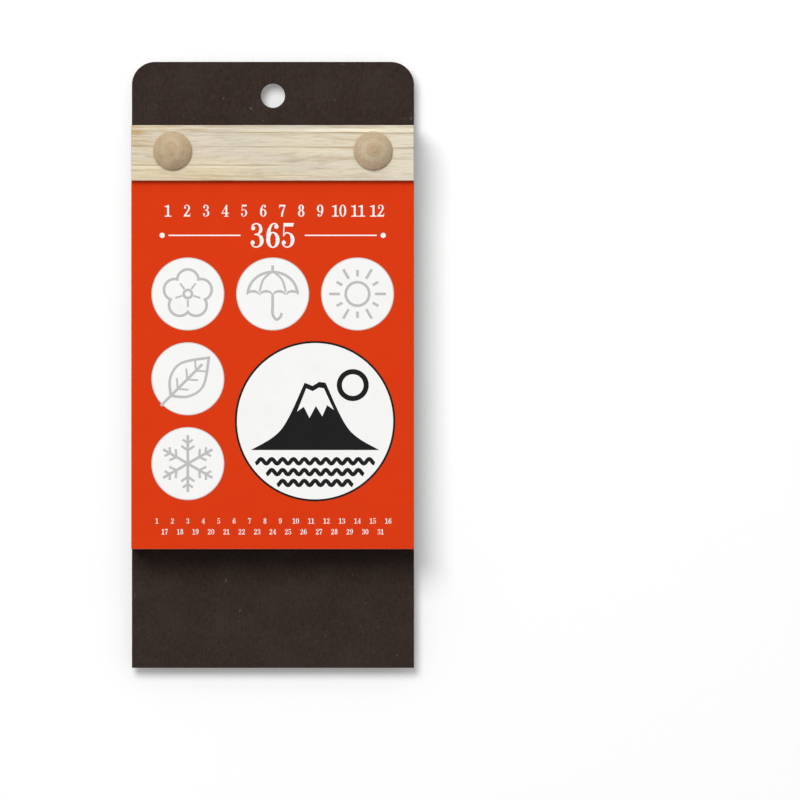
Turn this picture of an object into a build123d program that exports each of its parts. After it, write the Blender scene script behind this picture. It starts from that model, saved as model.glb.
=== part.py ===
from build123d import *
import os

# A wall calendar with one sheet for each day of the year. A stiff hanger board carries a pad of
# sheets, and two wooden pegs pin a wooden header bar over the top of the pad. Each sheet is bound
# under the bar by its stub, and its leaf is torn off along the bar's lower edge.
# The origin is on the axis of the hang hole, in the wall plane. +Z is up and the sheets face -Y.

# Driving dimensions, in millimetres
SHEET_WIDTH = 110.0
LEAF_HEIGHT = 143.2
HEADER_HEIGHT = 21.6

BOARD_THICKNESS = 2.0
BOARD_TOP_MARGIN = 25.0
BOARD_BOTTOM_MARGIN = 46.5
BOARD_CORNER_RADIUS = 9.0
BOARD_EDGE_RADIUS = 0.3
HANG_HOLE_DIAMETER = 9.4
HANG_HOLE_DROP = 13.2

BACK_CARD_THICKNESS = 1.2
DAY_SHEET_THICKNESS = 0.05
COVER_THICKNESS = 0.2
LOOSE_SHEET_GAP = 0.05

HEADER_THICKNESS = 3.2
HEADER_EDGE_RADIUS = 0.5

PEG_INSET = 16.0
PEG_DROP = 9.9
PEG_HEAD_DIAMETER = 15.0
PEG_HEAD_RIM = 1.3
PEG_HEAD_CROWN = 3.1
PEG_HEAD_EASING = 0.4
PEG_SHANK_DIAMETER = 8.0
PEG_TIP_CHAMFER = 0.6
PEG_LOOSE_CLEARANCE = 0.1
PEG_TIGHT_CLEARANCE = 0.02

# The sheets in the pad: the first days of January are separate sheets, and the rest of each
# month is one block of its sheets.
DAYS_IN_MONTH = {
    "january": 31,
    "february": 28,
    "march": 31,
    "april": 30,
    "may": 31,
    "june": 30,
    "july": 31,
    "august": 31,
    "september": 30,
    "october": 31,
    "november": 30,
    "december": 31,
}
FIRST_MONTH = "january"
LOOSE_DAYS = 3

# The pegs stand this far to each side of the middle
peg_offset = SHEET_WIDTH / 2 - PEG_INSET

# Heights that the pieces share
board_top = HANG_HOLE_DROP
pad_top = board_top - BOARD_TOP_MARGIN
tear_line = pad_top - HEADER_HEIGHT
pad_bottom = tear_line - LEAF_HEIGHT
board_bottom = pad_bottom - BOARD_BOTTOM_MARGIN
peg_height = pad_top - PEG_DROP

# Depths of the stack, from the wall towards the reader
wall_plane = 0.0
board_front = wall_plane - BOARD_THICKNESS
card_front = board_front - BACK_CARD_THICKNESS
block_sheets = sum(DAYS_IN_MONTH.values()) - LOOSE_DAYS
block_front = card_front - block_sheets * DAY_SHEET_THICKNESS
loose_pitch = LOOSE_SHEET_GAP + DAY_SHEET_THICKNESS
loose_front = block_front - LOOSE_DAYS * loose_pitch
cover_back = loose_front - LOOSE_SHEET_GAP
cover_front = cover_back - COVER_THICKNESS
header_front = cover_front - HEADER_THICKNESS

loose_hole_radius = PEG_SHANK_DIAMETER / 2 + PEG_LOOSE_CLEARANCE
tight_hole_radius = PEG_SHANK_DIAMETER / 2 + PEG_TIGHT_CLEARANCE


def slab(y_back, thickness, z_low, z_high):
    """A flat piece of the sheet's width between two heights, with its back at y_back."""
    middle = Pos(0, y_back - thickness / 2, (z_low + z_high) / 2)
    return middle * Box(SHEET_WIDTH, thickness, z_high - z_low)


def drill(x, z, radius, y_back, thickness):
    """A round cutter that runs through a flat piece along Y, and past both of its faces."""
    middle = Pos(x, y_back - thickness / 2, z)
    return middle * Rot(90, 0, 0) * Cylinder(radius, 3 * thickness)


def with_peg_holes(piece, radius, y_back, thickness):
    """The flat piece with its two holes for the pegs."""
    for side in (-1, 1):
        piece -= drill(side * peg_offset, peg_height, radius, y_back, thickness)
    return piece


def hanger_board():
    """Stiff board with rounded top corners, an eased front outline, the hang hole and the peg holes."""
    board = slab(wall_plane, BOARD_THICKNESS, board_bottom, board_top)
    top_corners = board.edges().filter_by(Axis.Y).group_by(Axis.Z)[-1]
    board = fillet(top_corners, BOARD_CORNER_RADIUS)
    front_outline = board.faces().sort_by(Axis.Y)[0].edges()
    board = fillet(front_outline, BOARD_EDGE_RADIUS)
    board -= drill(0, 0, HANG_HOLE_DIAMETER / 2, wall_plane, BOARD_THICKNESS)
    return with_peg_holes(board, tight_hole_radius, wall_plane, BOARD_THICKNESS)


def pad_back_card():
    """Card behind the last sheet, the size of the sheets."""
    card = slab(board_front, BACK_CARD_THICKNESS, pad_bottom, pad_top)
    return with_peg_holes(card, tight_hole_radius, board_front, BACK_CARD_THICKNESS)


def month_blocks():
    """One block of sheets for each month, with the last month at the back."""
    blocks = {}
    y_back = card_front
    for month, days in reversed(DAYS_IN_MONTH.items()):
        sheets = days - LOOSE_DAYS if month == FIRST_MONTH else days
        thickness = sheets * DAY_SHEET_THICKNESS
        block = slab(y_back, thickness, pad_bottom, pad_top)
        blocks[f"{month}_block"] = with_peg_holes(block, loose_hole_radius, y_back, thickness)
        y_back -= thickness
    return blocks


def sheet(name, y_back, thickness):
    """A separate sheet: the stub that stays under the bar and the leaf that comes away."""
    stub = slab(y_back, thickness, tear_line, pad_top)
    leaf = slab(y_back, thickness, pad_bottom, tear_line)
    return {
        f"{name}_stub": with_peg_holes(stub, loose_hole_radius, y_back, thickness),
        f"{name}_leaf": leaf,
    }


def loose_sheets():
    """The first days' sheets, with day one in front, and the cover over them."""
    sheets = {}
    for day in range(1, LOOSE_DAYS + 1):
        y_back = loose_front + (day - 1) * loose_pitch + DAY_SHEET_THICKNESS
        sheets.update(sheet(f"day_{day:02d}", y_back, DAY_SHEET_THICKNESS))
    sheets.update(sheet("cover", cover_back, COVER_THICKNESS))
    return sheets


def header_bar():
    """Wooden slat over the stubs, with its front edges eased."""
    bar = slab(cover_front, HEADER_THICKNESS, tear_line, pad_top)
    front_edges = bar.faces().sort_by(Axis.Y)[0].edges()
    bar = fillet(front_edges, HEADER_EDGE_RADIUS)
    return with_peg_holes(bar, loose_hole_radius, cover_front, HEADER_THICKNESS)


def peg(x):
    """Turned peg with a crowned head on the bar and a shank that ends flush in the board."""
    head_radius = PEG_HEAD_DIAMETER / 2
    shank_radius = PEG_SHANK_DIAMETER / 2
    rim_front = header_front - PEG_HEAD_RIM
    crown_front = rim_front - PEG_HEAD_CROWN
    crown = TangentArc((0, crown_front), (head_radius, rim_front), tangent=(1, 0))
    body = Polyline(
        (head_radius, rim_front),
        (head_radius, header_front),
        (shank_radius, header_front),
        (shank_radius, wall_plane - PEG_TIP_CHAMFER),
        (shank_radius - PEG_TIP_CHAMFER, wall_plane),
        (0, wall_plane),
        (0, crown_front),
    )
    turned = revolve(make_face(crown + body), Axis.Y)
    rim_edges = [
        edge
        for edge in turned.edges().filter_by(GeomType.CIRCLE)
        if abs(edge.radius - head_radius) < PEG_TIP_CHAMFER / 2
    ]
    turned = fillet(rim_edges, PEG_HEAD_EASING)
    return Pos(x, 0, peg_height) * turned


parts = {
    "hanger_board": hanger_board(),
    "pad_back_card": pad_back_card(),
    **month_blocks(),
    **loose_sheets(),
    "header_bar": header_bar(),
    "left_peg": peg(-peg_offset),
    "right_peg": peg(peg_offset),
}

os.makedirs("parts", exist_ok=True)
for name, shape in parts.items():
    export_step(shape, f"parts/{name}.step")
print(f"{len(parts)} pieces, pad {card_front - cover_front:.2f} mm thick, tear line at z {tear_line:.2f}")
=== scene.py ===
import math
import random
from functools import partial

import bpy
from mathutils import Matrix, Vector
from mathutils.geometry import delaunay_2d_cdt, interpolate_bezier


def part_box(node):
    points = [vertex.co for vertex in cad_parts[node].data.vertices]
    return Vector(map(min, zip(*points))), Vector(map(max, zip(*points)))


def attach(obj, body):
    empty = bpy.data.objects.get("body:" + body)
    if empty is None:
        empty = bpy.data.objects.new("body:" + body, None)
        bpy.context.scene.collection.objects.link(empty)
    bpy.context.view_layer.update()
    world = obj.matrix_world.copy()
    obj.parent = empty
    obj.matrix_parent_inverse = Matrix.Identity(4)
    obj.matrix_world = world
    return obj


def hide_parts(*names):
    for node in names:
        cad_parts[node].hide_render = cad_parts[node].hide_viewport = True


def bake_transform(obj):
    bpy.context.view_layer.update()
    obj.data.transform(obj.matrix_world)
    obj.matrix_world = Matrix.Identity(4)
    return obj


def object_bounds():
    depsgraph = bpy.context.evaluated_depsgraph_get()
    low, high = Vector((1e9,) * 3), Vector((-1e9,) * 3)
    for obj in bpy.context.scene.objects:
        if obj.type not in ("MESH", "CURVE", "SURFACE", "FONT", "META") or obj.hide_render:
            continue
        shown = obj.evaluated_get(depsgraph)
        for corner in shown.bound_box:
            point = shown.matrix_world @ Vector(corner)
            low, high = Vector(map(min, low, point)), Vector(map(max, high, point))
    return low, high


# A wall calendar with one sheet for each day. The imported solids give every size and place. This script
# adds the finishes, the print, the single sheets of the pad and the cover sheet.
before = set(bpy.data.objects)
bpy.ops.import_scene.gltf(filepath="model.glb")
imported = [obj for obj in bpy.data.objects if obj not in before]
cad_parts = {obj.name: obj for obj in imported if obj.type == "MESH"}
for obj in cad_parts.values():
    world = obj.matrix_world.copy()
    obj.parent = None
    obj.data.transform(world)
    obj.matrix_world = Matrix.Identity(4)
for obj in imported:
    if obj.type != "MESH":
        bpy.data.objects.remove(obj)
cad_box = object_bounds()

# Lengths are in metres, as in the frame. Print, sheets and grain are laid out in millimetres.
MM = 0.001

# Colours, linear red, green and blue
BOARD_BROWN = (0.0345, 0.0223, 0.0179)
BOARD_FIBRE = (0.075, 0.058, 0.049)
BOARD_SPECK = (0.016, 0.010, 0.008)
BOARD_FLECK = (0.125, 0.102, 0.09)
BOARD_CUT = (0.075, 0.055, 0.045)
GREYBOARD = (0.40, 0.36, 0.31)
GREYBOARD_FLECK = (0.20, 0.17, 0.14)
PAPER_WHITE = (0.93, 0.925, 0.91)
PAPER_SHADE = (0.76, 0.735, 0.68)
PAPER_DIM = (0.7812, 0.777, 0.7644)
WOOD_GREY = (0.66, 0.60, 0.495)
WOOD_CREAM = (0.725, 0.645, 0.49)
WOOD_YELLOW = (0.735, 0.62, 0.405)
WOOD_LATE = (0.40, 0.29, 0.155)
WOOD_AMBER = (0.53, 0.345, 0.125)
WOOD_BRIGHT = (0.86, 0.78, 0.59)
WOOD_SAP = (0.80, 0.735, 0.60)
WOOD_STRIP = (0.93, 0.86, 0.68)
PEG_RING = (0.34, 0.235, 0.13)
PEG_HEART = (0.43, 0.275, 0.15)
PEG_BLUSH = (0.60, 0.44, 0.29)
PEG_HALO = (0.64, 0.535, 0.37)
INKS = {
    "paper": PAPER_WHITE,
    "cover_red": (0.70, 0.041, 0.0035),
    "art_grey": (0.52, 0.52, 0.52),
    "rule_grey": (0.60, 0.60, 0.60),
    "ink_black": (0.012, 0.011, 0.011),
    "day_red": (0.78, 0.0, 0.006),
    "moon_blue": (0.0, 0.132, 0.45),
}


# Shader helpers

# The share of a line's half width at which it is full
LINE_CORE = 0.3
# Finishes: the share of a layer and the base for the roughness, the relief in millimetres and the gloss
FINISHES = {
    "board": (0.15, 0.74, 0.02, 0.07),
    "greyboard": (0.1, 0.85, 0.03, 0.15),
    "paper": (0.12, 0.72, 0.012, 0.08),
    "page_edges": (0.1, 0.78, 0.02, 0.08),
    "header": (0.2, 0.5, 0.03, 0.15),
    "peg": (0.15, 0.62, 0.04, 0.15),
}


def node(tree, kind, inputs=None, **settings):
    """The outputs of a new shader node. Each of its inputs is linked to a socket or set to a value."""
    made = tree.nodes.new("ShaderNode" + kind)
    for name, value in settings.items():
        setattr(made, name, value)
    for key, value in (inputs or {}).items():
        if isinstance(value, bpy.types.NodeSocket):
            tree.links.new(value, made.inputs[key])
        else:
            made.inputs[key].default_value = value
    return made.outputs


def maths(operation, first, second=0.0):
    """One step of arithmetic on two values, at least one of which is a socket."""
    tree = next(value.id_data for value in (first, second) if isinstance(value, bpy.types.NodeSocket))
    return node(tree, "Math", {0: first, 1: second}, operation=operation)[0]


def band(value, nothing, full):
    """Rises smoothly from 0 at one value to 1 at the other, which may be lower."""
    inputs = {"Value": value, "From Min": nothing, "From Max": full}
    return node(value.id_data, "MapRange", inputs, interpolation_type="SMOOTHSTEP")[0]


def product(*values):
    """All the values multiplied together."""
    result = values[0]
    for value in values[1:]:
        result = maths("MULTIPLY", result, value)
    return result


def scaled(value, share, base):
    """A share of the value on top of a base."""
    return maths("ADD", product(value, share), base)


def shades(colour, factors):
    """A colour made darker or lighter by each of the factors."""
    return [[min(1.0, part * factor) for part in colour] for factor in factors]


def mix(share, first, second):
    """The second colour over the first, by its share."""
    pair = [c if isinstance(c, bpy.types.NodeSocket) else (*c, 1.0) for c in (first, second)]
    return node(share.id_data, "Mix", {0: share, 6: pair[0], 7: pair[1]}, data_type="RGBA")[2]


def noise(place, waves, detail=2.0, distortion=0.0):
    """Smooth noise from 0 to 1, with so many waves to a millimetre along each axis."""
    stretched = node(place.id_data, "Mapping", {"Vector": place, "Scale": waves})[0]
    inputs = {"Vector": stretched, "Scale": 1.0, "Detail": detail, "Distortion": distortion}
    return node(place.id_data, "TexNoise", inputs)[0]


def noise_layers(place, layers):
    """Several layers of noise, by their names."""
    return {name: noise(place, *layer) for name, layer in layers.items()}


def with_tones(colour, layers, tones):
    """A colour with tones laid over it in turn, each where its layer of noise lets it show."""
    for layer, begins, full, share, tone in tones:
        colour = mix(product(band(layers[layer], begins, full), share), colour, tone)
    return colour


def sway(place, waves, height):
    """A gentle rise and fall about nothing, of this height from end to end."""
    return product(maths("SUBTRACT", noise(place, waves), 0.5), height)


def split(place):
    """The three parts of a place."""
    return node(place.id_data, "SeparateXYZ", {0: place})


def line_at(value, middle, half_width):
    """One where the value is near the middle of a line, and nothing away from it."""
    off = maths("ABSOLUTE", maths("SUBTRACT", value, middle))
    return band(off, half_width, half_width * LINE_CORE)


def surface(name, paint, finish):
    """A material. paint(place) gives its colour, the layer that its roughness follows and its height."""
    rough_share, rough_base, relief, gloss = FINISHES[finish]
    material = bpy.data.materials.new(name)
    material.use_nodes = True
    tree = material.node_tree
    shader = tree.nodes["Principled BSDF"]
    shader.inputs["Specular IOR Level"].default_value = gloss
    coordinates = node(tree, "TexCoord")["Object"]
    place = node(tree, "VectorMath", {0: coordinates, "Scale": 1 / MM}, operation="SCALE")[0]
    colour, rough, height = paint(place)
    tree.links.new(colour, shader.inputs["Base Color"])
    tree.links.new(scaled(rough, rough_share, rough_base), shader.inputs["Roughness"])
    bump = node(tree, "Bump", {"Height": height, "Distance": relief * MM})[0]
    tree.links.new(bump, shader.inputs["Normal"])
    return material


# Card and paper. Here and under wood, a layer of noise has its waves to a millimetre along each axis, its
# detail and perhaps its distortion. A tone has its layer, the values at which it begins and is full, its
# share and its colour. Shades are factors for a dark and a light tone.

BOARD_LAYERS = {
    "mottle": ((0.93, 1.0, 0.47), 4.0, 0.9),
    "cloud": ((0.08, 0.08, 0.08), 3.0),
    "speck": ((1.3, 1.3, 0.9), 2.0),
    "fleck": ((0.9, 0.9, 0.5), 1.0),
    "plies": ((0.4, 5.0, 0.4), 2.0),
    "hairs": ((0.9, 0.9, 0.9), 1.0, 0.8),
    "patches": ((0.72, 0.72, 0.72), 1.0),
}
BOARD_TONES = [
    ("cloud", 0.4, 0.75, 0.16, BOARD_FIBRE),
    ("speck", 0.64, 0.76, 0.85, BOARD_SPECK),
    ("fleck", 0.76, 0.81, 0.8, BOARD_FLECK),
]
BOARD_SHADES = (0.8, 1.2)
BOARD_MOTTLE = (0.25, 0.75)
# Hairs in the board: the value that they follow and their half width, where patches of them begin and are
# full, and their shares in the colour and the relief
FIBRE_LINE = (0.5, 0.06)
FIBRE_PATCHES = (0.52, 0.62)
FIBRE_SHARE = 0.14
FIBRE_RELIEF = 0.5
# How far a face looks forward or back where the paler cut edge begins and is full
CUT_FACING = (0.5, 0.15)

GREYBOARD_LAYERS = {"plies": ((0.3, 4.0, 0.3), 3.0), "fleck": ((1.6, 1.6, 1.6), 3.0)}
GREYBOARD_SHADES = (0.8, 1.15)
WASTE_FLECKS = (0.55, 0.68)
WASTE_SHARE = 0.6

PAPER_LAYERS = {"cloud": ((0.12, 0.12, 0.12), 4.0), "grain": ((2.6, 2.6, 2.6), 3.0)}
PAPER_SHADES = (0.965, 1.035)
PAPER_TOOTH = (0.62, 0.85)
BARE_SHARE = 0.05

EDGE_LAYERS = {
    "leaves": ((0.004, 6.0, 0.004), 2.0),
    "bundles": ((0.006, 0.8, 0.006), 3.0),
    "nicks": ((0.3, 1.5, 0.3), 3.0),
}
EDGE_TONES = [
    ("leaves", 0.3, 0.7, 1.0, PAPER_WHITE),
    ("bundles", 0.42, 0.7, 0.4, PAPER_SHADE),
    ("nicks", 0.55, 0.8, 0.25, PAPER_SHADE),
]


def board_card(place):
    """Dark brown board: an upright mottle, faint hairs, dark specks, pale flecks and paler cut edges."""
    layers = noise_layers(place, BOARD_LAYERS)
    patches = band(layers["patches"], *FIBRE_PATCHES)
    hairs = product(line_at(layers["hairs"], *FIBRE_LINE), patches)
    tone = mix(band(layers["mottle"], *BOARD_MOTTLE), *shades(BOARD_BROWN, BOARD_SHADES))
    tone = mix(product(hairs, FIBRE_SHARE), tone, BOARD_FIBRE)
    tone = with_tones(tone, layers, BOARD_TONES)
    facing = split(node(place.id_data, "TexCoord")["Normal"])[1]
    cut = band(maths("ABSOLUTE", facing), *CUT_FACING)
    tone = mix(product(cut, layers["plies"]), tone, BOARD_CUT)
    height = maths("ADD", layers["mottle"], product(hairs, FIBRE_RELIEF))
    return tone, layers["mottle"], height


def greyboard(place):
    """Raw grey card with dark flecks of waste paper."""
    layers = noise_layers(place, GREYBOARD_LAYERS)
    fleck = band(layers["fleck"], *WASTE_FLECKS)
    tone = mix(layers["plies"], *shades(GREYBOARD, GREYBOARD_SHADES))
    tone = mix(product(fleck, WASTE_SHARE), tone, GREYBOARD_FLECK)
    return tone, layers["plies"], fleck


def inked_paper(colour, bare_share, place):
    """Print on paper, whose tooth shows through it by a small share. Plain paper is its own ink."""
    layers = noise_layers(place, PAPER_LAYERS)
    tone = mix(layers["cloud"], *shades(colour, PAPER_SHADES))
    tone = with_tones(tone, layers, [("grain", *PAPER_TOOTH, bare_share, PAPER_WHITE)])
    return tone, layers["grain"], layers["grain"]


def page_edges(place):
    """Cut edges of paper, which differ a little from sheet to sheet and from bundle to bundle."""
    layers = noise_layers(place, EDGE_LAYERS)
    tone = with_tones(PAPER_DIM, layers, EDGE_TONES)
    return tone, layers["leaves"], layers["leaves"]


# Wood. Places on the header bar are along it from its middle and down from its top, in millimetres.

WOOD_LAYERS = {
    "zones": ((0.016, 0.1, 0.16), 2.0),
    "streak": ((0.03, 0.3, 0.9), 5.0),
    "hair": ((0.085, 0.8, 2.2), 3.0),
    "grain": ((0.16, 1.5, 2.1), 3.0),
    "pores": ((0.2, 2.0, 6.0), 2.0),
}
WOOD_TONES = [
    ("streak", 0.52, 0.76, 0.5, WOOD_LATE),
    ("streak", 0.47, 0.28, 0.45, WOOD_BRIGHT),
    ("hair", 0.53, 0.7, 0.46, WOOD_LATE),
    ("hair", 0.45, 0.3, 0.4, WOOD_BRIGHT),
    ("grain", 0.5, 0.75, 0.3, WOOD_LATE),
    ("pores", 0.56, 0.78, 0.3, WOOD_LATE),
]
WOOD_ZONES = (0.42, 0.62)
# How the grain sways: the waves to a millimetre along each axis, and the height
WOOD_RIPPLE = (0.05, 0.08, 0.2), 0.6
WOOD_DRIFT = (0.011, 0.03, 0.03), 7.0
# The pale right end: the two places along the bar between which it comes in, and its share
SAP_END = (0.0, 55.0)
SAP_SHARE = 0.6
# Other parts of the bar: the places along it and the depths between which each comes in, and its share
LOWER_LEFT = (15.0, -25.0), (9.0, 17.0), 0.8
AMBER_END = (-43.0, -53.5), (11.0, 6.0), 0.9
AMBER_TOP = (3.0, -43.0), (3.6, 1.6), 0.6
AMBER_HAIR = (0.36, 0.6)
# The slanting figure: its layer of noise, the values at which it begins and is full, its middle and reach
# along and down the bar, its slant and its share
FIGURE_LAYER = (0.09, 0.5, 1.0), 3.0
FIGURE_SHOWS = (0.52, 0.66)
FIGURE_ALONG = (16.0, 20.0)
FIGURE_DOWN = (13.0, 5.0)
FIGURE_SLANT = math.radians(11)
FIGURE_SHARE = 0.26
# Lines along the bar: the depth at its left and right end, the half width, the two places between which
# the line comes in, its share and colour
WOOD_LINES = [
    (1.95, 1.95, 0.9, -32.0, 22.0, 0.95, WOOD_STRIP),
    (1.2, 1.3, 0.4, 0.0, -25.0, 0.45, WOOD_STRIP),
    (0.35, 0.35, 0.5, -60.0, -30.0, 0.4, WOOD_LATE),
    (2.6, 3.1, 0.42, -38.0, -4.0, 0.8, WOOD_LATE),
    (8.0, 8.9, 0.4, -58.0, -56.0, 0.4, WOOD_LATE),
    (8.0, 8.9, 0.4, -42.0, -52.0, 0.5, WOOD_LATE),
    (8.0, 8.9, 0.4, -5.0, 20.0, 0.5, WOOD_LATE),
    (15.4, 15.6, 0.4, 20.0, -5.0, 0.65, WOOD_LATE),
    (9.7, 10.4, 0.5, -30.0, 10.0, 0.45, WOOD_BRIGHT),
    (16.1, 16.4, 0.55, 20.0, -5.0, 0.7, WOOD_BRIGHT),
]
# Where the lines are broken: the waves of noise, and the values at which they begin and are full
LINE_WAVES = (0.05, 0.0, 0.0)
LINE_SHOWS = (0.25, 0.6)
WOOD_GROOVES = (0.5, 0.74)
GROOVE_DEPTH = 0.8

# Each peg's colour, where its pith lies off its middle, and the shares of its rings and heart
PEGS = {
    "left_peg": ((0.51, 0.39, 0.242), (-0.6, 0.0, 0.5), 0.1, 0.25),
    "right_peg": ((0.55, 0.435, 0.285), (0.4, 0.0, 0.3), 0.22, 0.42),
}
PEG_LAYERS = {
    "patches": ((0.22, 0.05, 0.22), 3.0),
    "mottle": ((0.6, 0.1, 0.6), 4.0),
    "speckle": ((2.2, 0.3, 2.2), 3.0),
}
TONES_UNDER_RINGS = [("patches", 0.45, 0.65, 0.45, PEG_BLUSH)]
TONES_OVER_RINGS = [
    ("rays", 0.55, 0.8, 0.22, PEG_RING),
    ("speckle", 0.55, 0.8, 0.35, PEG_RING),
]
PEG_SHADES = (0.86, 1.0)
PEG_MOTTLE = (0.3, 0.7)
# The rays turn about the pith: their waves to a radian and their detail, and their row in the noise
RAY_LAYER = (9.0, 1.0, 1.0), 3.0
RAY_ROW = 3.7
# The rings: their warp, how many there are to a millimetre, and where in each the late wood begins and ends
RING_WARP = (0.16, 0.03, 0.16)
WARP_HEIGHT = 2.4
RINGS_PER_MM = 0.75
LATE_BEGINS = (0.3, 0.85)
LATE_ENDS = (1.0, 0.88)
LATE_RELIEF = 0.5
# The radii at which the heart begins and is full, the halo's radius and half width, and its share
HEART_RADII = (4.6, 1.8)
HALO_LINE = (5.0, 1.3)
HALO_SHARE = 0.75


def header_wood(place):
    """Pale softwood sawn along the bar: drifting streaks, an amber end and a bright strip at the top."""
    low, high = (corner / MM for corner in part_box("header_bar"))
    tree = place.id_data
    along, inward, up = split(place)
    depth = maths("ADD", maths("SUBTRACT", high.z, up), sway(place, *WOOD_RIPPLE))
    bent = maths("ADD", depth, sway(place, *WOOD_DRIFT))
    lengthwise = node(tree, "CombineXYZ", {0: along, 1: inward, 2: bent})[0]
    layers = noise_layers(lengthwise, WOOD_LAYERS)

    def part(places, depths, share):
        return product(band(along, *places), band(depth, *depths), share)

    tone = mix(band(layers["zones"], *WOOD_ZONES), WOOD_GREY, WOOD_CREAM)
    tone = mix(product(band(along, *SAP_END), SAP_SHARE), tone, WOOD_SAP)
    tone = mix(part(*LOWER_LEFT), tone, WOOD_YELLOW)
    tone = with_tones(tone, layers, WOOD_TONES)

    leaning = node(tree, "Mapping", {"Vector": place, "Rotation": (0.0, FIGURE_SLANT, 0.0)})[0]
    figure = band(noise(leaning, *FIGURE_LAYER), *FIGURE_SHOWS)
    spot = line_at(along, *FIGURE_ALONG), line_at(depth, *FIGURE_DOWN)
    tone = mix(product(figure, *spot, FIGURE_SHARE), tone, WOOD_LATE)

    amber = maths("MAXIMUM", part(*AMBER_END), part(*AMBER_TOP))
    tone = mix(product(amber, band(layers["hair"], *AMBER_HAIR)), tone, WOOD_AMBER)
    patchy = band(noise(place, LINE_WAVES), *LINE_SHOWS)
    for left_depth, right_depth, half_width, begins, full, share, colour in WOOD_LINES:
        slope = (right_depth - left_depth) / (high.x - low.x)
        level = maths("SUBTRACT", depth, product(along, slope))
        line = line_at(level, (left_depth + right_depth) / 2, half_width)
        tone = mix(product(line, band(along, begins, full), patchy, share), tone, colour)

    grooves = product(band(layers["streak"], *WOOD_GROOVES), GROOVE_DEPTH)
    height = maths("SUBTRACT", layers["pores"], grooves)
    return tone, layers["streak"], height


def peg_end_grain(peg, pale, pith, ring_share, heart_share, place):
    """Turned wood seen on its end: rings about the pith, rays across them and a mottled tone."""
    tree = place.id_data
    low, high = (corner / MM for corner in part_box(peg))
    axis = (low + high) / 2 + Vector(pith)
    off = node(tree, "VectorMath", {0: place, 1: axis}, operation="SUBTRACT")[0]
    out = node(tree, "VectorMath", {0: off, 1: (1, 0, 1)}, operation="MULTIPLY")[0]
    reach = node(tree, "VectorMath", {0: out}, operation="LENGTH")["Value"]
    radius = maths("ADD", reach, product(noise(place, RING_WARP), WARP_HEIGHT))
    ring = maths("FRACT", product(radius, RINGS_PER_MM))
    late = product(band(ring, *LATE_BEGINS), band(ring, *LATE_ENDS))
    across, _, up = split(out)
    turned = node(tree, "CombineXYZ", {0: maths("ARCTAN2", up, across), 1: RAY_ROW})[0]
    layers = noise_layers(place, PEG_LAYERS)
    layers["rays"] = noise(turned, *RAY_LAYER)

    tone = mix(band(layers["mottle"], *PEG_MOTTLE), *shades(pale, PEG_SHADES))
    tone = with_tones(tone, layers, TONES_UNDER_RINGS)
    tone = mix(product(late, ring_share), tone, PEG_RING)
    tone = mix(product(band(radius, *HEART_RADII), heart_share), tone, PEG_HEART)
    tone = mix(product(line_at(radius, *HALO_LINE), heart_share, HALO_SHARE), tone, PEG_HALO)
    tone = with_tones(tone, layers, TONES_OVER_RINGS)
    height = maths("SUBTRACT", layers["speckle"], product(late, LATE_RELIEF))
    return tone, layers["mottle"], height


# Outlines, in millimetres or in shares of a numeral's height

CURVE_STEPS = 6
ROUND_SIDES = 40
HANDLE_DIVISOR = 6


def smooth_path(points, steps=CURVE_STEPS):
    """Points along a smooth curve through the given ones."""
    points = [Vector(point) for point in points]
    if len(points) < 3:
        return points
    ends = [points[0], *points, points[-1]]
    path = [points[0]]
    for before, start, stop, after in zip(ends, ends[1:], ends[2:], ends[3:]):
        leaving = start + (stop - before) / HANDLE_DIVISOR
        arriving = stop - (after - start) / HANDLE_DIVISOR
        path += interpolate_bezier(start, leaving, arriving, stop, steps)[1:]
    return path


def ribbon(path, widths):
    """The outline of a line that has its own width at each of its points."""
    left, right = [], []
    for before, here, after, width in zip([path[0], *path], path, [*path[1:], path[-1]], widths):
        along = (after - before).normalized()
        side = Vector((-along.y, along.x)) * width / 2
        left.append(here + side)
        right.append(here - side)
    return right + left[::-1]


def stroke(path, width):
    """The outline of a line of one width."""
    return ribbon([Vector(point) for point in path], [width] * len(path))


def ellipse(x, y, half_width, half_height=None, start=0.0, stop=360.0, sides=ROUND_SIDES):
    """An ellipse, or its part between two angles in degrees, anticlockwise from the right."""
    half_height = half_width if half_height is None else half_height
    whole = stop - start >= 360
    count = sides if whole else sides // 2 + 1
    step = (stop - start) / (count if whole else count - 1)
    turns = [math.radians(start + step * index) for index in range(count)]
    return [Vector((x + half_width * math.cos(a), y + half_height * math.sin(a))) for a in turns]


def rectangle(x, y, width, height):
    """A rectangle about its middle."""
    across, up = width / 2, height / 2
    return [(x - across, y - up), (x + across, y - up), (x + across, y + up), (x - across, y + up)]


def polar(radius, degrees):
    """A point at this distance from the middle, at an angle anticlockwise from the right."""
    return Vector((math.cos(math.radians(degrees)), math.sin(math.radians(degrees)))) * radius


def placed(shapes, x, y, size):
    """The same shapes, enlarged and moved."""
    corner = Vector((x, y))
    return [(ink, [corner + Vector(point) * size for point in outline]) for ink, outline in shapes]


# Plain numerals, one unit high, with upright stems, thin level hairlines and round ends. An outline is a
# list of runs: a run of three points or more is a smooth curve. A pen's line is thin where it is level,
# and near the round ends and the fine points.

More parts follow.
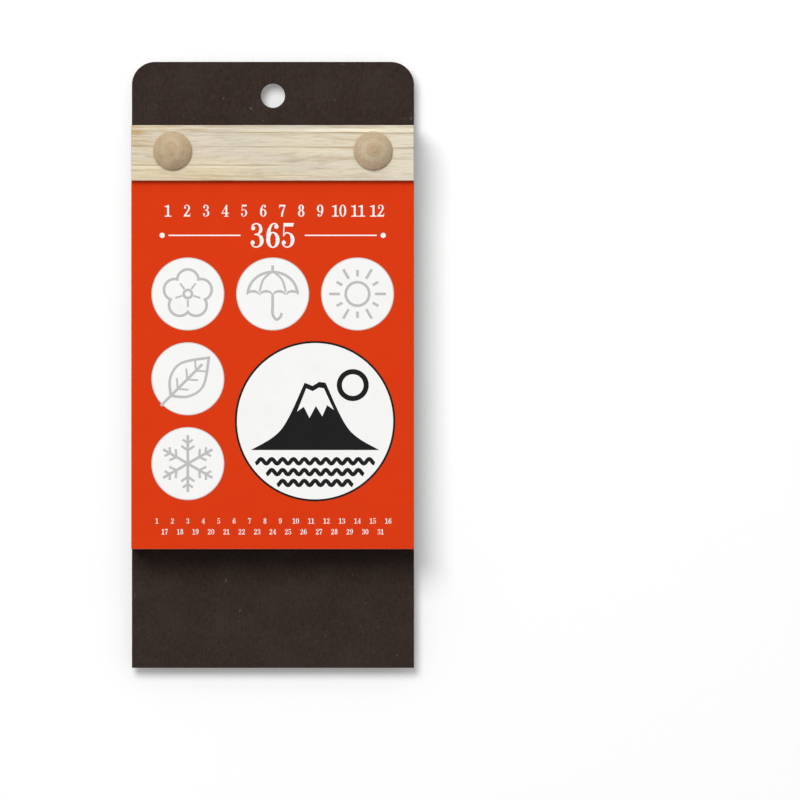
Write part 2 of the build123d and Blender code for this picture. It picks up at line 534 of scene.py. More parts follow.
STEM = 0.155
HAIR = 0.048
BALL = 0.083
PEN_CONTRAST = 2.0
PEN_SWELLS = 0.3
NUMERALS = {
    "0": {"advance": 0.64, "rings": [(0.32, 0.5, 0.29, 0.51)]},
    "1": {"advance": 0.6, "outlines": [[
        [(0.01, 0.0), (0.59, 0.0)],
        [(0.59, 0.07), (0.48, 0.075), (0.40, 0.1), (0.38, 0.19)],
        [(0.38, 1.0), (0.2, 0.925), (0.01, 0.885)],
        [(0.01, 0.82), (0.14, 0.815), (0.205, 0.79), (0.22, 0.72)],
        [(0.22, 0.19), (0.2, 0.1), (0.12, 0.075), (0.01, 0.07)],
    ]]},
    "2": {"advance": 0.64, "balls": [(0.16, 0.74)], "pens": [[
        (0.1, 0.75), (0.15, 0.91), (0.3, 0.976), (0.438, 0.91),
        (0.495, 0.75), (0.44, 0.56), (0.31, 0.36), (0.1, 0.08),
    ]], "outlines": [[
        [(0.04, 0.0), (0.57, 0.0)],
        [(0.61, 0.26), (0.575, 0.26)],
        [(0.56, 0.18), (0.51, 0.14), (0.42, 0.13)],
        [(0.16, 0.13), (0.054, 0.115)],
        [(0.04, 0.07)],
    ]]},
    "3": {"advance": 0.62, "balls": [(0.15, 0.79), (0.13, 0.21)], "pens": [[
        (0.09, 0.8), (0.145, 0.925), (0.28, 0.976), (0.407, 0.913),
        (0.46, 0.76), (0.407, 0.607), (0.28, 0.54), (0.2, 0.54),
    ], [
        (0.2, 0.54), (0.28, 0.54), (0.436, 0.464), (0.5, 0.282),
        (0.436, 0.1), (0.28, 0.024), (0.13, 0.08), (0.07, 0.2),
    ]]},
    "4": {"advance": 0.66, "outlines": [
        [[(0.36, 0.0), (0.51, 0.0)], [(0.51, 1.0), (0.43, 1.0)], [(0.36, 0.87)]],
        [[(0.02, 0.26), (0.08, 0.26)], [(0.48, 1.0), (0.43, 1.0)]],
        [[(0.02, 0.25), (0.63, 0.25)], [(0.63, 0.32), (0.02, 0.32)]],
        [[(0.25, 0.0), (0.62, 0.0)], [(0.62, 0.05), (0.25, 0.05)]],
    ]},
    "5": {"advance": 0.62, "balls": [(0.13, 0.21)], "fine": [(0.12, 0.47)], "pens": [[
        (0.123, 0.48), (0.18, 0.57), (0.28, 0.606), (0.428, 0.52), (0.49, 0.315),
        (0.428, 0.11), (0.28, 0.024), (0.13, 0.08), (0.07, 0.2),
    ]], "outlines": [
        [[(0.12, 0.86), (0.5, 0.86)], [(0.54, 1.0), (0.12, 1.0)]],
        [[(0.1, 0.46), (0.145, 0.46)], [(0.165, 1.0), (0.12, 1.0)]],
    ]},
    "6": {"advance": 0.64, "balls": [(0.47, 0.85)], "rings": [(0.33, 0.315, 0.27, 0.325)], "pens": [[
        (0.53, 0.86), (0.475, 0.95), (0.37, 0.976), (0.281, 0.929),
        (0.206, 0.796), (0.155, 0.596), (0.1375, 0.36), (0.1375, 0.315),
    ]]},
    "7": {"advance": 0.6, "outlines": [
        [[(0.05, 0.7), (0.085, 0.7)], [(0.13, 0.86), (0.57, 0.86)], [(0.57, 1.0), (0.05, 1.0)]],
        [
            [(0.2, 0.0), (0.36, 0.0)],
            [(0.36, 0.12), (0.42, 0.45), (0.57, 0.93)],
            [(0.53, 0.93), (0.27, 0.42), (0.2, 0.0)],
        ],
    ]},
    "8": {"advance": 0.62, "rings": [(0.31, 0.755, 0.225, 0.255), (0.31, 0.27, 0.27, 0.28)]},
    "9": {"advance": 0.64, "balls": [(0.17, 0.15)], "rings": [(0.31, 0.685, 0.27, 0.325)], "pens": [[
        (0.11, 0.14), (0.165, 0.05), (0.27, 0.024), (0.359, 0.071),
        (0.434, 0.204), (0.485, 0.404), (0.5025, 0.64), (0.5025, 0.685),
    ]]},
    ":": {"advance": 0.3, "balls": [(0.15, 0.22), (0.15, 0.62)]},
    ".": {"advance": 0.3, "balls": [(0.15, 0.09)]},
}
# The points on a numeral's curves and on its round parts, where it is lower than a height in millimetres
NUMERAL_POINTS = [(3.0, 3, 12), (7.0, 5, 28), (12.0, 8, 44), (math.inf, 16, 80)]


def pen_stroke(path, fine):
    """The outline of a pen's line: thick where it is upright and away from its fine points."""
    widths = []
    for before, here, after in zip([path[0], *path], path, [*path[1:], path[-1]]):
        upright = abs((after - before).normalized().y) ** PEN_CONTRAST
        nearest = min(((here - Vector(point)).length for point in fine), default=math.inf)
        swelling = min(1.0, max(0.0, nearest - BALL) / PEN_SWELLS)
        widths.append(HAIR + (STEM - HAIR) * upright * swelling)
    return ribbon(path, widths)


def numeral(glyph, ink, ground, steps, sides):
    """A numeral one unit high, with the insides of its rings cleared to the ground."""
    shapes = []
    for runs in glyph.get("outlines", []):
        shapes.append((ink, [point for run in runs for point in smooth_path(run, steps)]))
    fine = glyph.get("balls", []) + glyph.get("fine", [])
    for path in glyph.get("pens", []):
        shapes.append((ink, pen_stroke(smooth_path(path, steps), fine)))
    for x, y in glyph.get("balls", []):
        shapes.append((ink, ellipse(x, y, BALL, sides=sides)))
    for colour, stem, hair in ((ink, 0.0, 0.0), (ground, STEM, HAIR)):
        for x, y, half_width, half_height in glyph.get("rings", []):
            shapes.append((colour, ellipse(x, y, half_width - stem, half_height - hair, sides=sides)))
    return shapes


def number(text, x, y, height, ink, ground="paper"):
    """A number in plain numerals, centred on a point. Small ones are drawn with fewer points."""
    detail = next(detail for limit, *detail in NUMERAL_POINTS if height < limit)
    glyphs = [NUMERALS[character] for character in text]
    left = x - height * sum(glyph["advance"] for glyph in glyphs) / 2
    shapes = []
    for glyph in glyphs:
        shapes += placed(numeral(glyph, ink, ground, *detail), left, y - height / 2, height)
        left += height * glyph["advance"]
    return shapes


# Small pictures for the cover, each drawn in a circle of radius one

LINE = 0.075
SLOPE_STEPS = 18
WAVE_CRESTS = (11, 9, 7)
WAVE_TOP = -0.5
WAVE_LENGTH = 0.135
WAVE_HEIGHT = 0.03
WAVE_STEPS = 10
WAVE_LINE = 0.05


def ring(x, y, radius, line, ink, sides=ROUND_SIDES):
    """A circle drawn as a line, clear inside."""
    return [(ink, ellipse(x, y, radius, sides=sides)), ("paper", ellipse(x, y, radius - line, sides=sides))]


def blossom(ink):
    """A flower of five round petals."""
    count, reach, radius, heart = 5, 0.38, 0.33, 0.15
    stamen, stamen_line = (0.16, 0.36), LINE * 0.7
    petals = [polar(reach, 90 + 360 / count * index) for index in range(count)]
    shapes = [(ink, ellipse(*petal, radius)) for petal in petals]
    shapes += [("paper", ellipse(*petal, radius - LINE)) for petal in petals]
    shapes += [("paper", ellipse(0, 0, radius))]
    for index in range(count):
        turn = 90 + 360 / count * (index - 0.5)
        shapes.append((ink, stroke([polar(end, turn) for end in stamen], stamen_line)))
    return shapes + ring(0, 0, heart, LINE, ink)


def umbrella(ink):
    """An open umbrella with a hooked handle."""
    half_width, height, rim = 0.72, 0.66, -0.02
    scallops, scallop_height, scallop_sides = 4, 0.13, 20
    rib_reach, rib_line = 0.36, LINE * 0.8
    width = 2 * half_width / scallops
    middles = [-half_width + width * (index + 0.5) for index in range(scallops)]
    shapes = [(ink, ellipse(0, rim, half_width, height, 0, 180))]
    shapes.append(("paper", ellipse(0, rim, half_width - LINE, height - LINE, 0, 180)))
    for colour, line in ((ink, 0.0), ("paper", LINE)):
        size = (width - line) / 2, scallop_height - line
        shapes += [(colour, ellipse(x, rim, *size, 0, 180, sides=scallop_sides)) for x in middles]
    for reach in (-rib_reach, rib_reach):
        rib = [(0, 0.62), (reach * 0.7, 0.4), (reach, 0.06)]
        shapes.append((ink, stroke(smooth_path(rib), rib_line)))
    shapes.append((ink, stroke([(0, 0.62), (0, 0.78)], LINE)))
    handle = [(0, 0.0), (0, -0.3), (0, -0.55), (0.1, -0.7), (0.22, -0.62), (0.24, -0.52)]
    return shapes + [(ink, stroke(smooth_path(handle), LINE))]


def sun(ink):
    """A sun with twelve rays, long and short in turn."""
    radius, rays, ray_start, long_reach, short_reach = 0.36, 12, 0.48, 0.78, 0.66
    shapes = ring(0, 0, radius, LINE, ink)
    for index in range(rays):
        turn = 360 / rays * index
        reach = short_reach if index % 2 else long_reach
        shapes.append((ink, stroke([polar(ray_start, turn), polar(reach, turn)], LINE)))
    return shapes


def leaf(ink):
    """A pointed leaf on a short stalk, with its veins."""
    inside, vein_line = 0.86, LINE * 0.7
    side = [(-0.5, -0.5), (-0.52, 0.02), (-0.2, 0.46), (0.62, 0.62)]
    other = [(0.62, 0.62), (0.46, -0.2), (0.02, -0.52), (-0.5, -0.5)]
    edge = smooth_path(side) + smooth_path(other)[1:-1]
    shapes = [(ink, edge), ("paper", [point * inside for point in edge])]
    shapes.append((ink, stroke([(-0.74, -0.74), (0.4, 0.4)], LINE)))
    for reach in (-0.28, -0.02, 0.22):
        for tip in ((reach - 0.02, reach + 0.3), (reach + 0.3, reach - 0.02)):
            shapes.append((ink, stroke([(reach, reach), tip], vein_line)))
    return shapes


def snowflake(ink):
    """Six arms, each with two pairs of barbs."""
    arms, arm_reach, first_turn = 6, 0.78, 30
    barbs, barb_lean, barb_line = ((0.36, 0.22), (0.56, 0.17)), 55, LINE * 0.85
    shapes = []
    for index in range(arms):
        turn = first_turn + 360 / arms * index
        shapes.append((ink, stroke([polar(0, 0), polar(arm_reach, turn)], LINE)))
        for reach, length in barbs:
            for lean in (-barb_lean, barb_lean):
                start = polar(reach, turn)
                shapes.append((ink, stroke([start, start + polar(length, turn + lean)], barb_line)))
    return shapes


def mountain(ink):
    """A dark mountain with a snowy top, the sun beside it and three waves below it."""
    shapes = ring(0.47, 0.45, 0.2, 0.065, ink)
    left_slope = smooth_path([(-0.8, -0.36), (-0.42, -0.1), (-0.13, 0.48)], SLOPE_STEPS)
    crater = [Vector((-0.03, 0.44)), Vector((0.05, 0.49))]
    right_slope = smooth_path([(0.13, 0.48), (0.42, -0.1), (0.8, -0.36)], SLOPE_STEPS)
    shapes.append((ink, left_slope + crater + right_slope))
    snow = [(-0.11, 0.41), (-0.03, 0.375), (0.05, 0.42), (0.11, 0.41), (0.235, 0.14), (0.15, 0.2)]
    snow += [(0.09, 0.06), (0.01, 0.19), (-0.07, 0.04), (-0.14, 0.18), (-0.225, 0.12)]
    shapes.append(("paper", snow))
    for row, crests in enumerate(WAVE_CRESTS):
        level = WAVE_TOP - WAVE_LENGTH * row
        line = []
        for step in range(WAVE_STEPS * crests + 1):
            waves = step / WAVE_STEPS
            rise = -WAVE_HEIGHT * math.cos(2 * math.pi * waves)
            line.append((WAVE_LENGTH * (waves - crests / 2), level + rise))
        shapes.append((ink, stroke(line, WAVE_LINE)))
    return shapes


# Print on the cover, in millimetres from the middle of the tear line, up and to the right

DAYS_IN_YEAR = 365
DAYS_IN_MONTH = 31
MONTHS = 12
MONTH_STEP = 7.4
MONTH_ROW = -11.6
MONTH_HEIGHT = 4.6
TITLE_ROW = -21.2
TITLE_HEIGHT = 9.6
TITLE_RULE_MIDDLE = 26.5
TITLE_RULE_LENGTH = 28.0
TITLE_DOT_MIDDLE = 43.0
RULE_WIDTH = 0.5
# The discs and the emblem are ringed by a line, a share of their radius
DISC_TOP_ROW = -44.0
DISC_STEP = 33.0
DISC_RADIUS = 14.2
DISC_LINE = 0.025
DISC_SIDES = 80
EMBLEM_MIDDLE = (16.5, -93.5)
EMBLEM_RADIUS = 31.2
EMBLEM_LINE = 0.026
EMBLEM_SIDES = 120
FOOT_LEFT = -45.0
FOOT_ROW = -132.3
FOOT_ROW_LENGTH = 16
FOOT_STEP = (6.0, 4.2)
FOOT_HEIGHT = 2.1
# The pictures on the cover's discs, with their column and row
DISC_PICTURES = [(blossom, -1, 0), (umbrella, 0, 0), (sun, 1, 0), (leaf, -1, 1), (snowflake, -1, 2)]


def cover_print():
    """The cover: plain numbers for a title, seasons on white discs and small numbers at the foot."""
    red = "cover_red"
    shapes = []
    for month in range(1, MONTHS + 1):
        x = MONTH_STEP * (month - (MONTHS + 1) / 2)
        shapes += number(str(month), x, MONTH_ROW, MONTH_HEIGHT, "paper", red)
    shapes += number(str(DAYS_IN_YEAR), 0, TITLE_ROW, TITLE_HEIGHT, "paper", red)
    for side in (-1, 1):
        rule = rectangle(side * TITLE_RULE_MIDDLE, TITLE_ROW, TITLE_RULE_LENGTH, RULE_WIDTH)
        dot = ellipse(side * TITLE_DOT_MIDDLE, TITLE_ROW, 2 * RULE_WIDTH)
        shapes += [("paper", rule), ("paper", dot)]
    for picture, column, row in DISC_PICTURES:
        disc = ring(0, 0, 1.0, DISC_LINE, "rule_grey", DISC_SIDES) + picture("art_grey")
        shapes += placed(disc, DISC_STEP * column, DISC_TOP_ROW - DISC_STEP * row, DISC_RADIUS)
    emblem = ring(0, 0, 1.0, EMBLEM_LINE, "ink_black", EMBLEM_SIDES) + mountain("ink_black")
    shapes += placed(emblem, *EMBLEM_MIDDLE, EMBLEM_RADIUS)
    across, down = FOOT_STEP
    for day in range(1, DAYS_IN_MONTH + 1):
        row, column = divmod(day - 1, FOOT_ROW_LENGTH)
        x = FOOT_LEFT + across * (column + row / 2)
        shapes += number(str(day), x, FOOT_ROW - down * row, FOOT_HEIGHT, "paper", red)
    return shapes


# Print on the days' pages, laid out in the same way

DAY_INKS = {1: "day_red", 2: "moon_blue", 3: "day_red"}
DAY_MIDDLE = (1.7, -58.7)
DAY_HEIGHT = 60.7
DAY_DOT = (-0.4, -97.7)
DAY_DOT_RADIUS = 2.7
# The week's marks are rings, with a dot for the page's day, which is this one on the first page
WEEK_DAYS = 7
FIRST_WEEKDAY = 4
WEEK_COLUMN = -42.0
WEEK_ROW = -44.0
WEEK_STEP = 5.2
WEEK_DOT_RADIUS = 1.9
WEEK_RING_RADIUS = 1.6
WEEK_RING_LINE = 0.45
# The number in the box is this far ahead of the day
BOX_AHEAD = 22
BOX_MIDDLE = (-38.2, -122.7)
YEAR_LINE_ROW = -128.8
YEAR_LINE_LENGTH = 46.0
YEAR_DOT_RADIUS = 1.1
MOON_MIDDLE = (41.0, -122.7)
MOON_RADIUS = 4.4
MOON_LIT = 0.42
MOON_WANES = 0.07
# Rules and boxes, with the middle, width and height of each
PAGE_BLOCKS = [
    ("ink_black", 41.0, -61.5, 8.0, RULE_WIDTH),
    ("rule_grey", 0.0, -113.3, 95.2, RULE_WIDTH),
    ("rule_grey", *BOX_MIDDLE, 10.4, 10.4),
    ("paper", *BOX_MIDDLE, 9.7, 9.7),
    ("rule_grey", 0.0, YEAR_LINE_ROW, YEAR_LINE_LENGTH, 0.4),
    ("moon_blue", *MOON_MIDDLE, 11.6, 11.6),
]


def page_numbers(day):
    """Plain numbers for the date, with the middle and height of each."""
    return [
        (f"{day:03d}", -38.0, -7.3, 4.2),
        (str(DAYS_IN_YEAR), -38.0, -12.6, 3.0),
        (f"01.{day:02d}", -1.0, -9.2, 8.0),
        (str(DAYS_IN_YEAR - day), 36.5, -9.4, 5.6),
        ("1", 41.0, -54.4, 9.4),
        (str(MONTHS), 41.0, -66.8, 6.4),
        ("1", -0.4, -107.4, 6.6),
        (str(DAYS_IN_MONTH), 37.0, -109.9, 3.2),
        (str(BOX_AHEAD + day), *BOX_MIDDLE, 6.4),
        ("6:51", -11.5, -118.3, 4.2),
        ("16:38", 11.5, -118.3, 4.2),
    ]


def moon(x, y, radius, lit):
    """The lit part of a waning moon, from nothing at 0 to the whole disc at 1."""
    edge = ellipse(x, y, radius, start=90, stop=270)
    shade = ellipse(x, y, radius * (1 - 2 * lit), radius, start=90, stop=270)
    return edge + shade[::-1][1:-1]


def day_print(day):
    """A day's page: a large numeral, numbers for the date, seven marks for the week and a moon."""
    day_ink = DAY_INKS.get(day, "ink_black")
    shapes = [(ink, rectangle(*block)) for ink, *block in PAGE_BLOCKS]
    shapes += number(str(day), *DAY_MIDDLE, DAY_HEIGHT, day_ink)
    for text, x, y, height in page_numbers(day):
        shapes += number(text, x, y, height, "ink_black")
    for weekday in range(WEEK_DAYS):
        y = WEEK_ROW - WEEK_STEP * weekday
        if weekday == (FIRST_WEEKDAY + day - 1) % WEEK_DAYS:
            shapes.append(("ink_black", ellipse(WEEK_COLUMN, y, WEEK_DOT_RADIUS)))
        else:
            shapes += ring(WEEK_COLUMN, y, WEEK_RING_RADIUS, WEEK_RING_LINE, "ink_black")
    shapes.append((day_ink, ellipse(*DAY_DOT, DAY_DOT_RADIUS)))
    gone = YEAR_LINE_LENGTH * (day / DAYS_IN_YEAR - 0.5)
    shapes.append((day_ink, ellipse(gone, YEAR_LINE_ROW, YEAR_DOT_RADIUS)))
    lit = MOON_LIT - MOON_WANES * (day - 1)
    return shapes + [("paper", moon(*MOON_MIDDLE, MOON_RADIUS, lit))]


# Sheets

# A cut keeps what is inside its border. Points this near are one, and places are rounded to these decimals.
INSIDE_TRIANGLES = 1
MEETS = 1e-3
DECIMALS = 4
SHARP_EDGE = math.radians(35)
# The map for a piece's colours has a strip, from the left, for the cut edges, for the
# plain faces and for the first sheet's print, with a margin between.
COLOUR_MAP = "OFBake"
MAP_MARGIN = 0.008
PLAIN_SHARE = 0.03
SHEET_EDGE_SHARE = 0.02
BLOCK_EDGE_SHARE = 0.25
# The pad's sheets: from one to the next, their thickness, how far they lie astray and their peg holes
SHEET_PITCH = 0.05
SHEET_THICKNESS = 0.042
SHEET_STRAY = 0.06
PEG_HOLE_RADIUS = 4.1
PEG_HOLE_SIDES = 24
FRONT_BLOCK = "january_block"
# How the foot of a loose leaf stands forward: the share of its height that lies flat, and the shares of the
# lift at its middle, at both corners and more at the right one
FOOT_FLAT = 0.45
FOOT_MIDDLE_SHARE = 0.35
FOOT_CORNER_SHARE = 0.5
FOOT_RIGHT_SHARE = 0.15
COVER_FOOT_LIFT = 0.9
DAY_FOOT_LIFTS = {1: 0.45, 2: 0.3, 3: 0.15}
# The height below the tear line over which the cover's rows lie close, and the lines across and down a leaf
# that let its foot curve
COVER_BEND = 12.0
BEND_ROWS = 16
LEAF_ROWS = 20
FIRST_FOOT_ROW = 8
LEAF_COLUMNS = 10

loose_days = sum(name.startswith("day_") and name.endswith("_leaf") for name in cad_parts)
leaf_low, leaf_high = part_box("cover_leaf")
leaf_size = (leaf_high - leaf_low) / MM
tear_line = leaf_high.z
leaf_corners = (leaf_low.x / MM, -leaf_size.z), (leaf_high.x / MM, 0.0)
foot_rows = [-leaf_size.z * row / LEAF_ROWS for row in range(FIRST_FOOT_ROW, LEAF_ROWS)]
foot_columns = [leaf_size.x * (column / LEAF_COLUMNS - 0.5) for column in range(1, LEAF_COLUMNS)]

ink_finish = {
    name: surface(name, partial(inked_paper, colour, 0.0 if name == "paper" else BARE_SHARE), "paper")
    for name, colour in INKS.items()
}
ink_finish["page_edges"] = surface("page_edges", page_edges, "page_edges")


def goes_round(outline, point):
    """Whether an outline goes round a point, however it crosses itself."""
    turns = 0
    for a, b in zip(outline, [*outline[1:], outline[0]]):
        if (a.y <= point.y) != (b.y <= point.y):
            rising = b.y > a.y
            if ((b - a).cross(point - a) > 0) == rising:
                turns += 1 if rising else -1
    return turns != 0


def ink_at(point, shapes, ground):
    """The ink of the last shape over a point, or the ground's where there is none."""
    for ink, outline, low, high in reversed(shapes):
        if low.x < point.x < high.x and low.y < point.y < high.y and goes_round(outline, point):
            return ink
    return ground


def corners_of(points):
    """The lowest and the highest corner of the box around flat points."""
    across, up = zip(*points)
    return Vector((min(across), min(up))), Vector((max(across), max(up)))


def cut_sheet(low, high, shapes=(), ground="paper", rows=(), columns=()):
    """A flat sheet as points and triangles, each triangle with its ink. A shape of no ink is a hole."""
    low, high = Vector(low), Vector(high)
    points = [Vector(corner) for corner in rectangle(*(low + high) / 2, *(high - low))]
    edges, boxed = [], []
    for ink, outline in shapes:
        outline = [Vector((round(x, DECIMALS), round(y, DECIMALS))) for x, y in outline]
        first, count = len(points), len(outline)
        edges += [(first + index, first + (index + 1) % count) for index in range(count)]
        points += outline
        boxed.append((ink, outline, *corners_of(outline)))
    lines = [((low.x, row), (high.x, row)) for row in rows]
    lines += [((column, low.y), (column, high.y)) for column in columns]
    for ends in lines:
        edges.append((len(points), len(points) + 1))
        points += [Vector(end) for end in ends]
    border = [[0, 1, 2, 3]]
    points, _, triangles, *_ = delaunay_2d_cdt(points, edges, border, INSIDE_TRIANGLES, MEETS)
    painted = []
    for triangle in triangles:
        middle = sum((points[corner] for corner in triangle), Vector((0, 0))) / 3
        ink = ink_at(middle, boxed, ground)
        if ink is not None:
            painted.append((triangle, ink))
    return points, painted


def open_edges(triangles):
    """The edges that only one triangle has: the border of a cut and its holes."""
    edges = {}
    for triangle, _ in triangles:
        for a, b in zip(triangle, [*triangle[1:], triangle[0]]):
            if not edges.pop((b, a), None):
                edges[(a, b)] = True
    return edges


def on_map(strip, across, up):
    """A place on the colour map, from the shares across its strip and up it."""
    left, right = strip
    return left + (right - left) * across, MAP_MARGIN + (1 - 2 * MAP_MARGIN) * up


def closed_faces(cut, edge, strips, depths):
    """The faces of a closed sheet: their corners, inks and places on the colour map. The back's points
    are counted on from the front's."""
    points, triangles = cut
    front_strip, plain_strip, edge_strip = strips
    count = len(points)
    low, high = corners_of(points)
    shares = [((x - low.x) / (high.x - low.x), (y - low.y) / (high.y - low.y)) for x, y in points]
    for triangle, ink in triangles:
        turned = triangle[::-1]
        yield triangle, ink, [on_map(front_strip, *shares[corner]) for corner in triangle]
        behind = [count + corner for corner in turned]
        yield behind, "paper", [on_map(plain_strip, *shares[corner]) for corner in turned]
    for a, b in open_edges(triangles):
        corners = (a, 0), (a, 1), (b, 1), (b, 0)
        spots = [on_map(edge_strip, depths[back], sum(shares[corner]) / 2) for corner, back in corners]
        yield [corner + count * back for corner, back in corners], edge, spots


def add_object(name, data):
    """A new object in the scene."""
    made = bpy.data.objects.new(name, data)
    bpy.context.scene.collection.objects.link(made)
    return made


def sheets_piece(name, sheets, edge="paper", edge_share=SHEET_EDGE_SHARE):
    """One mesh of closed sheets: each is its cut, the place of its front, its thickness and its shape.
    The shape gives how far a point moves right, towards the reader and up, in millimetres."""
    edge_strip = MAP_MARGIN, edge_share
    plain_strip = edge_share + MAP_MARGIN, edge_share + MAP_MARGIN + PLAIN_SHARE
    print_strip = plain_strip[1] + MAP_MARGIN, 1 - MAP_MARGIN
    places, faces, face_inks, spots = [], [], [], []
    for index, (cut, front, thickness, shape) in enumerate(sheets):
        first = len(places)
        for back in (0.0, thickness):
            for point in cut[0]:
                right, forward, up = shape(point)
                places.append((point.x + right, front + back - forward, point.y + up))
        strips = plain_strip if index else print_strip, plain_strip, edge_strip
        depths = index / len(sheets), (index + 1) / len(sheets)
        for corners, ink, face_spots in closed_faces(cut, edge, strips, depths):
            faces.append([first + corner for corner in corners])
            face_inks.append(ink)
            spots += face_spots
    inks = list(dict.fromkeys([edge, "paper", *face_inks]))
    mesh = bpy.data.meshes.new(name)
    mesh.from_pydata([Vector(place) * MM + Vector((0, 0, tear_line)) for place in places], [], faces)
    mesh.polygons.foreach_set("material_index", [inks.index(ink) for ink in face_inks])
    colour_map = mesh.uv_layers.new(name=COLOUR_MAP)
    colour_map.uv.foreach_set("vector", [share for spot in spots for share in spot])
    mesh.shade_smooth()
    mesh.set_sharp_from_angle(angle=SHARP_EDGE)
    for ink in inks:
        mesh.materials.append(ink_finish[ink])
    piece = add_object(name, mesh)
    return piece


def loose_foot(lift):
    """A leaf whose lower corners stand a little forward of the pad."""
    def shape(point):
        down = max(0.0, -point.y / leaf_size.z - FOOT_FLAT) / (1 - FOOT_FLAT)
        across = point.x / leaf_size.x * 2
        share = FOOT_MIDDLE_SHARE + FOOT_CORNER_SHARE * across * across + FOOT_RIGHT_SHARE * across
        return 0.0, lift * down * down * share, 0.0
    return shape


def astray(source):
    """A sheet that lies a hair away from its place."""
    right, up = (source.uniform(-SHEET_STRAY, SHEET_STRAY) for _ in range(2))
    return lambda point: (right, 0.0, up)


def cover_sheet():
    """The cover leaf, with rows close together below the header bar and a foot that stands forward."""
    bend_rows = [-COVER_BEND * step / BEND_ROWS for step in range(1, BEND_ROWS + 1)]
    cut = cut_sheet(*leaf_corners, cover_print(), "cover_red", bend_rows + foot_rows, foot_columns)
    sheet = cut, leaf_low.y / MM, leaf_size.y, loose_foot(COVER_FOOT_LIFT)
    piece = sheets_piece("cover_sheet", [sheet])
    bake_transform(piece)
    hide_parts("cover_leaf")


def day_pages():
    """The first days' leaves, which come away one by one."""
    for day in range(1, loose_days + 1):
        name = f"day_{day:02d}"
        low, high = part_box(f"{name}_leaf")
        cut = cut_sheet(*leaf_corners, day_print(day), "paper", foot_rows, foot_columns)
        sheet = cut, low.y / MM, (high.y - low.y) / MM, loose_foot(DAY_FOOT_LIFTS[day])
        piece = sheets_piece(f"{name}_page", [sheet])
        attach(piece, name)
        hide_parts(f"{name}_leaf")


def peg_holes():
    """The holes for the pegs in a sheet of the pad."""
    middles = [sum(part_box(peg), Vector()) / 2 for peg in PEGS]
    places = [(middle.x / MM, (middle.z - tear_line) / MM) for middle in middles]
    return [(None, ellipse(*place, PEG_HOLE_RADIUS, sides=PEG_HOLE_SIDES)) for place in places]


def pad_sheets():
    """Every other sheet of the year, a piece for each month. The front one has the next day's print."""
    source = random.Random(DAYS_IN_YEAR)
    holes = peg_holes()
    for block in [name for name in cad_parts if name.endswith("_block")]:
        low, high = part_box(block)
        corners = [(end.x / MM, (end.z - tear_line) / MM) for end in (low, high)]
        plain = cut_sheet(*corners, holes)
        sheets = []
        for index in range(round((high.y - low.y) / MM / SHEET_PITCH)):
            next_day = block == FRONT_BLOCK and index == 0
            cut = cut_sheet(*corners, day_print(loose_days + 1) + holes) if next_day else plain
            sheets.append((cut, low.y / MM + index * SHEET_PITCH, SHEET_THICKNESS, astray(source)))
        name = block.replace("block", "sheets")
        piece = sheets_piece(name, sheets, "page_edges", BLOCK_EDGE_SHARE)
        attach(piece, "calendar")
        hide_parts(block)


def finish_solids():
    """Materials for the solids that show as they are."""
    finishes = {
        "hanger_board": surface("board_card", board_card, "board"),
        "pad_back_card": surface("greyboard", greyboard, "greyboard"),
        "header_bar": surface("header_wood", header_wood, "header"),
    }
    for peg, grain in PEGS.items():
        finishes[peg] = surface(f"{peg}_wood", partial(peg_end_grain, peg, *grain), "peg")
    for name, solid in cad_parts.items():
        material = finishes.get(name, ink_finish["paper"] if name.endswith("_stub") else None)
        if material:
            solid.data.materials.clear()
            solid.data.materials.append(material)


# Stage, camera and light

# The photograph's width in pixels, the millimetres to a pixel, and where it has the board's middle line
# and the hang hole
VIEW_PIXELS = 800
VIEW_SCALE = 0.38993
VIEW_COLUMN = 272.95
VIEW_ROW = 95.7
LENS = 1000.0
SENSOR = 36.0
WALL_GAP = 0.005
WALL_TOP = 6.0
FLOOR_DROP = 0.2
STAGE_REACH = 8.0
STAGE_WHITE = (0.9, 0.9, 0.9, 1.0)
WHITE = (1.0, 1.0, 1.0, 1.0)
WALL_GLOW = 0.15
FLOOR_GLOW = 0.42
# The world's light grows towards the top by its slope
WORLD_LIGHT = 0.44
WORLD_SLOPE = 0.5
LAMP_DISTANCE = 2.4
LAMP_SIZE = 1.2
KEY_LIGHT = 0.655
KEY_FROM = Vector((-0.25, -1.0, 0.42))
BACK_LIGHT = 0.35
BACK_FROM = Vector((0.5, 1.0, 0.6))


def stage_finish(name, glow):
    """White that shows from its front alone and lets all light past."""
    material = bpy.data.materials.new(name)
    material.use_nodes = True
    tree = material.node_tree
    tree.nodes.clear()
    diffuse = node(tree, "BsdfDiffuse", {"Color": STAGE_WHITE})[0]
    emission = node(tree, "Emission", {"Color": WHITE, "Strength": glow})[0]
    white = node(tree, "AddShader", {0: diffuse, 1: emission})[0]
    seen = node(tree, "LightPath")["Is Camera Ray"]
    front = maths("SUBTRACT", 1.0, node(tree, "NewGeometry")["Backfacing"])
    clear = node(tree, "BsdfTransparent")[0]
    shown = node(tree, "MixShader", {0: product(seen, front), 1: clear, 2: white})[0]
    node(tree, "OutputMaterial", {"Surface": shown})
    return material


def stage_plane(name, corners, glow):
    """A flat part of the stage."""
    mesh = bpy.data.meshes.new(name)
    mesh.from_pydata(corners, [], [(0, 1, 2, 3)])
    mesh.materials.append(stage_finish(f"{name}_white", glow))
    plane = add_object(name, mesh)


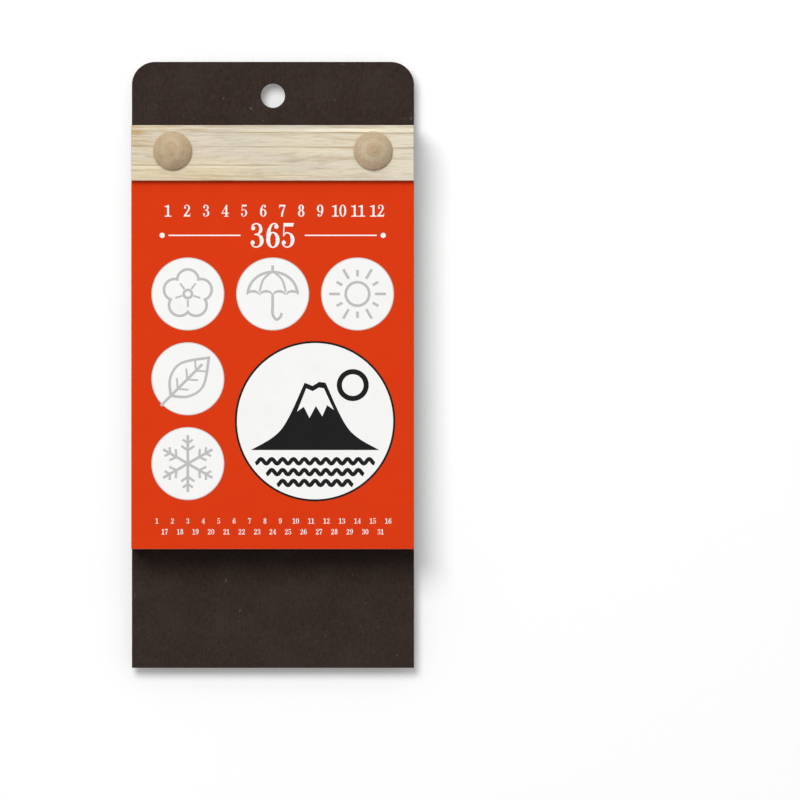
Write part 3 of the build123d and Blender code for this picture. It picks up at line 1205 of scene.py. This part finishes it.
def build_stage():
    """A wall just behind the board and a floor below it."""
    level = cad_box[0].z - FLOOR_DROP
    left, right, back, near = -STAGE_REACH, STAGE_REACH, WALL_GAP, -STAGE_REACH
    low_left, low_right = (left, back, level), (right, back, level)
    wall = [low_left, low_right, (right, back, WALL_TOP), (left, back, WALL_TOP)]
    floor = [(left, near, level), (right, near, level), low_right, low_left]
    stage_plane("wall", wall, WALL_GLOW)
    stage_plane("floor", floor, FLOOR_GLOW)


def add_lamp(name, toward, level):
    """A round soft lamp aimed at the middle of the calendar. At level 1 it makes white look white."""
    lamp = bpy.data.lights.new(name, "AREA")
    lamp.shape = "DISK"
    lamp.size = LAMP_SIZE
    lamp.energy = level * math.pi ** 2 * LAMP_DISTANCE ** 2
    holder = add_object(name, lamp)
    holder.location = sum(cad_box, Vector()) / 2 + toward.normalized() * LAMP_DISTANCE
    holder.rotation_euler = (-toward).to_track_quat("-Z", "Y").to_euler()


def light_scene():
    """A soft world that looks white, a large lamp above and to the left of the reader, and one behind."""
    world = bpy.data.worlds.new("studio")
    bpy.context.scene.world = world
    world.use_nodes = True
    tree = world.node_tree
    rays = node(tree, "LightPath")
    direct = maths("MAXIMUM", rays["Is Camera Ray"], rays["Is Transmission Ray"])
    seen = maths("MAXIMUM", direct, rays["Is Glossy Ray"])
    height = split(node(tree, "TexCoord")["Generated"])[2]
    soft = product(scaled(height, WORLD_SLOPE, 1.0), WORLD_LIGHT)
    strength = maths("MAXIMUM", soft, seen)
    background = tree.nodes["Background"]
    background.inputs["Color"].default_value = WHITE
    tree.links.new(strength, background.inputs["Strength"])
    add_lamp("key", KEY_FROM, KEY_LIGHT)
    add_lamp("back", BACK_FROM, BACK_LIGHT)


def place_camera():
    """A long lens square to the board, with the board where the photograph has it on the left."""
    data = bpy.data.cameras.new("camera")
    data.lens = LENS
    data.sensor_width = SENSOR
    camera = add_object("camera", data)
    across = (VIEW_PIXELS / 2 - VIEW_COLUMN) * VIEW_SCALE
    down = (VIEW_PIXELS / 2 - VIEW_ROW) * VIEW_SCALE
    away = VIEW_PIXELS * VIEW_SCALE * LENS / SENSOR
    board_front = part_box("hanger_board")[0].y
    camera.location = (across * MM, board_front - away * MM, -down * MM)
    camera.rotation_euler = (math.pi / 2, 0, 0)
    bpy.context.scene.camera = camera


finish_solids()
cover_sheet()
day_pages()
pad_sheets()
build_stage()
light_scene()
place_camera()
bpy.context.scene.view_settings.view_transform = "Standard"
